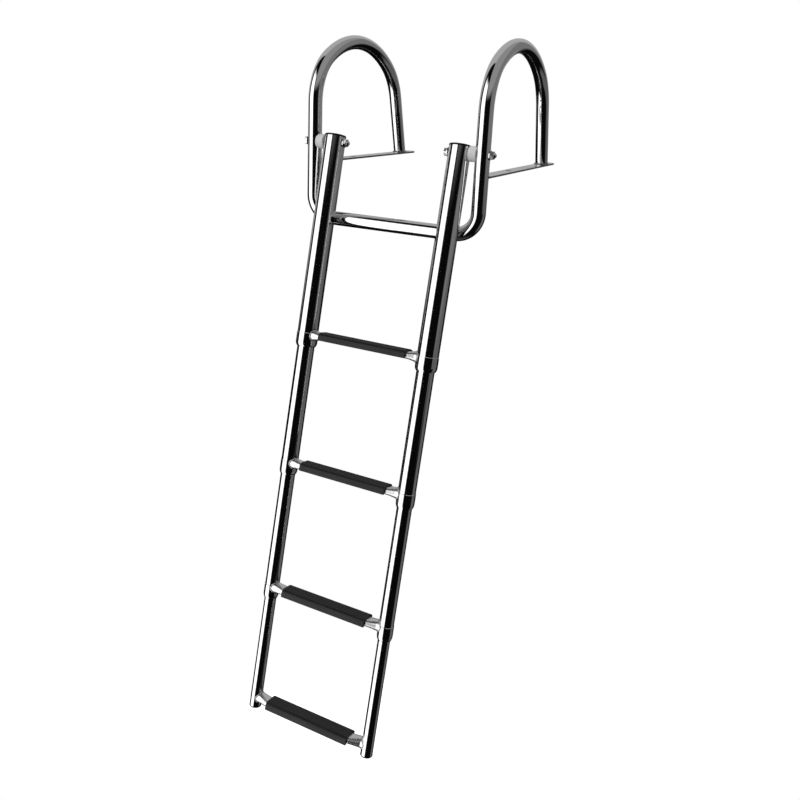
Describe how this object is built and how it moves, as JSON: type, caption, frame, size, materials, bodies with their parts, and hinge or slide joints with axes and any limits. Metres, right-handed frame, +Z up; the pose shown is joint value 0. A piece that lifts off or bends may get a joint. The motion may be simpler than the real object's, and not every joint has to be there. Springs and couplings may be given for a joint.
{
  "type": "telescopic boat ladder",
  "caption": "Telescopic boarding ladder: nested rails with ribbed steps slide out below a tube frame with two hand hoops and deck plates, and swing up over the deck.",
  "frame": {"origin": "underside of the right-hand deck plate, midway between its two screw holes", "axes": "+X across the ladder to the right as seen from the water, +Y inboard over the deck, +Z up"},
  "size_m": [0.3694, 0.6758, 1.2326],
  "materials": {
    "polished_steel": "mirror polished stainless steel",
    "plate_steel": "satin stainless steel",
    "fastener_steel": "bright stainless steel",
    "tread_plastic": "ribbed black plastic",
    "cap_plastic": "smooth black plastic",
    "bearing_plastic": "pale grey nylon"
  },
  "bodies": {
    "frame": {"cross_tube": "polished_steel", "hoop_left": "polished_steel", "deck_plate_left": "plate_steel", "pivot_bolt_left": "fastener_steel", "pivot_nut_left": "fastener_steel", "pivot_spacer_left": "bearing_plastic", "hoop_right": "polished_steel", "deck_plate_right": "plate_steel", "pivot_bolt_right": "fastener_steel", "pivot_nut_right": "fastener_steel", "pivot_spacer_right": "bearing_plastic"},
    "section_1": {"rail_1_left": "polished_steel", "collar_1_left": "polished_steel", "rail_cap_left": "cap_plastic", "rail_1_right": "polished_steel", "collar_1_right": "polished_steel", "rail_cap_right": "cap_plastic", "step_tube_1": "polished_steel", "tread_1": "tread_plastic"},
    "section_2": {"rail_2_left": "polished_steel", "collar_2_left": "polished_steel", "rail_2_right": "polished_steel", "collar_2_right": "polished_steel", "stop_bushes_2": "bearing_plastic", "step_tube_2": "polished_steel", "tread_2": "tread_plastic"},
    "section_3": {"rail_3_left": "polished_steel", "collar_3_left": "polished_steel", "rail_3_right": "polished_steel", "collar_3_right": "polished_steel", "stop_bushes_3": "bearing_plastic", "step_tube_3": "polished_steel", "tread_3": "tread_plastic"},
    "section_4": {"rail_4_left": "polished_steel", "foot_cap_left": "cap_plastic", "rail_4_right": "polished_steel", "foot_cap_right": "cap_plastic", "stop_bushes_4": "bearing_plastic", "step_tube_4": "polished_steel", "tread_4": "tread_plastic"}
  },
  "joints": [
    {"name": "ladder_swing", "type": "hinge", "parent": "frame", "child": "section_1", "pos_m": [-0.163, -0.26, 0.038], "axis": [-1, 0, 0], "range_deg": [0, 256]},
    {"name": "section_2_slide", "type": "slide", "parent": "section_1", "child": "section_2", "axis": [0, 0.2357, 0.9718], "range_m": [0, 0.202]},
    {"name": "section_3_slide", "type": "slide", "parent": "section_2", "child": "section_3", "axis": [0, 0.2357, 0.9718], "range_m": [0, 0.202]},
    {"name": "section_4_slide", "type": "slide", "parent": "section_3", "child": "section_4", "axis": [0, 0.2357, 0.9718], "range_m": [0, 0.182]}
  ]
}
